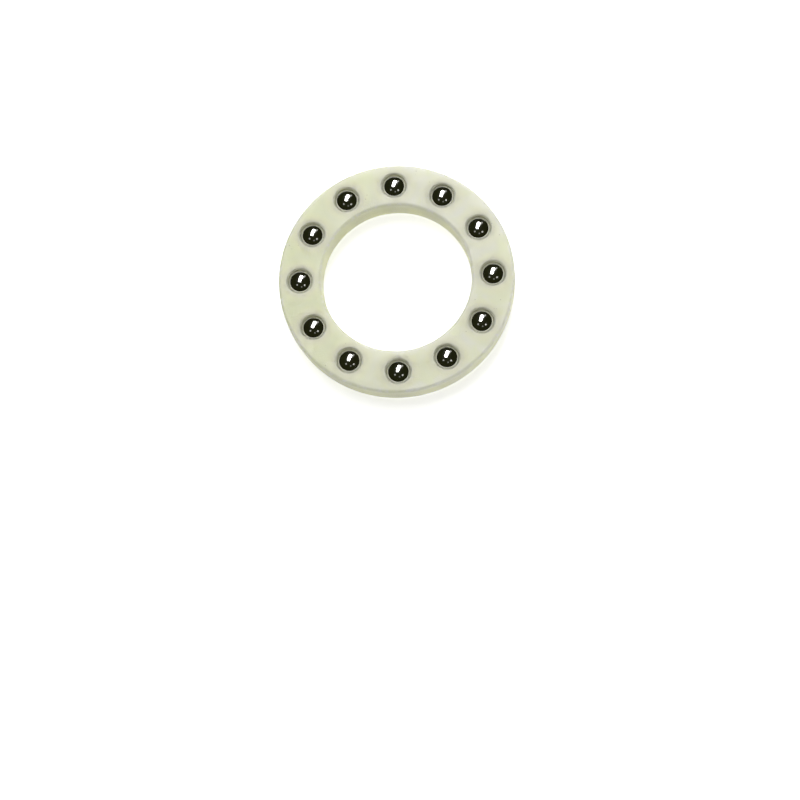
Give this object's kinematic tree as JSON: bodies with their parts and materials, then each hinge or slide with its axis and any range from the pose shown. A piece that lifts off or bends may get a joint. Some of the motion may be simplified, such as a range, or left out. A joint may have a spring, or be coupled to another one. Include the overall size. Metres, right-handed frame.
{
  "type": "thrust ball bearing cage and ball assembly",
  "caption": "Flat moulded ring cage that holds a circle of steel balls in snap-in pockets, for rolling thrust between two flat or grooved races.",
  "frame": {"origin": "centre of the ring, on its middle plane, at the centre of the bounding box", "axes": "+Z along the bearing's axis of rotation, out of the face without pin marks; +X through the centre of ball_01"},
  "size_m": [0.0464, 0.0464, 0.0064],
  "materials": {
    "nylon": "natural translucent nylon, softly shiny, ivory with a green cast",
    "bearing_steel": "lapped bearing steel, mirror bright"
  },
  "bodies": {
    "cage": {"cage": "nylon"},
    "ball_01": {"ball_01": "bearing_steel"},
    "ball_02": {"ball_02": "bearing_steel"},
    "ball_03": {"ball_03": "bearing_steel"},
    "ball_04": {"ball_04": "bearing_steel"},
    "ball_05": {"ball_05": "bearing_steel"},
    "ball_06": {"ball_06": "bearing_steel"},
    "ball_07": {"ball_07": "bearing_steel"},
    "ball_08": {"ball_08": "bearing_steel"},
    "ball_09": {"ball_09": "bearing_steel"},
    "ball_10": {"ball_10": "bearing_steel"},
    "ball_11": {"ball_11": "bearing_steel"},
    "ball_12": {"ball_12": "bearing_steel"}
  },
  "joints": [
    {"name": "ball_01_roll", "type": "hinge", "parent": "cage", "child": "ball_01", "pos_m": [0.01885, 0, 0], "axis": [1, 0, 0], "continuous": true},
    {"name": "ball_02_roll", "type": "hinge", "parent": "cage", "child": "ball_02", "pos_m": [0.01632, 0.00942, 0], "axis": [0.866, 0.5, 0], "continuous": true},
    {"name": "ball_03_roll", "type": "hinge", "parent": "cage", "child": "ball_03", "pos_m": [0.00942, 0.01632, 0], "axis": [0.5, 0.866, 0], "continuous": true},
    {"name": "ball_04_roll", "type": "hinge", "parent": "cage", "child": "ball_04", "pos_m": [0, 0.01885, 0], "axis": [0, 1, 0], "continuous": true},
    {"name": "ball_05_roll", "type": "hinge", "parent": "cage", "child": "ball_05", "pos_m": [-0.00942, 0.01632, 0], "axis": [-0.5, 0.866, 0], "continuous": true},
    {"name": "ball_06_roll", "type": "hinge", "parent": "cage", "child": "ball_06", "pos_m": [-0.01632, 0.00942, 0], "axis": [-0.866, 0.5, 0], "continuous": true},
    {"name": "ball_07_roll", "type": "hinge", "parent": "cage", "child": "ball_07", "pos_m": [-0.01885, 0, 0], "axis": [-1, 0, 0], "continuous": true},
    {"name": "ball_08_roll", "type": "hinge", "parent": "cage", "child": "ball_08", "pos_m": [-0.01632, -0.00942, 0], "axis": [-0.866, -0.5, 0], "continuous": true},
    {"name": "ball_09_roll", "type": "hinge", "parent": "cage", "child": "ball_09", "pos_m": [-0.00942, -0.01632, 0], "axis": [-0.5, -0.866, 0], "continuous": true},
    {"name": "ball_10_roll", "type": "hinge", "parent": "cage", "child": "ball_10", "pos_m": [0, -0.01885, 0], "axis": [0, -1, 0], "continuous": true},
    {"name": "ball_11_roll", "type": "hinge", "parent": "cage", "child": "ball_11", "pos_m": [0.00942, -0.01632, 0], "axis": [0.5, -0.866, 0], "continuous": true},
    {"name": "ball_12_roll", "type": "hinge", "parent": "cage", "child": "ball_12", "pos_m": [0.01632, -0.00942, 0], "axis": [0.866, -0.5, 0], "continuous": true}
  ]
}
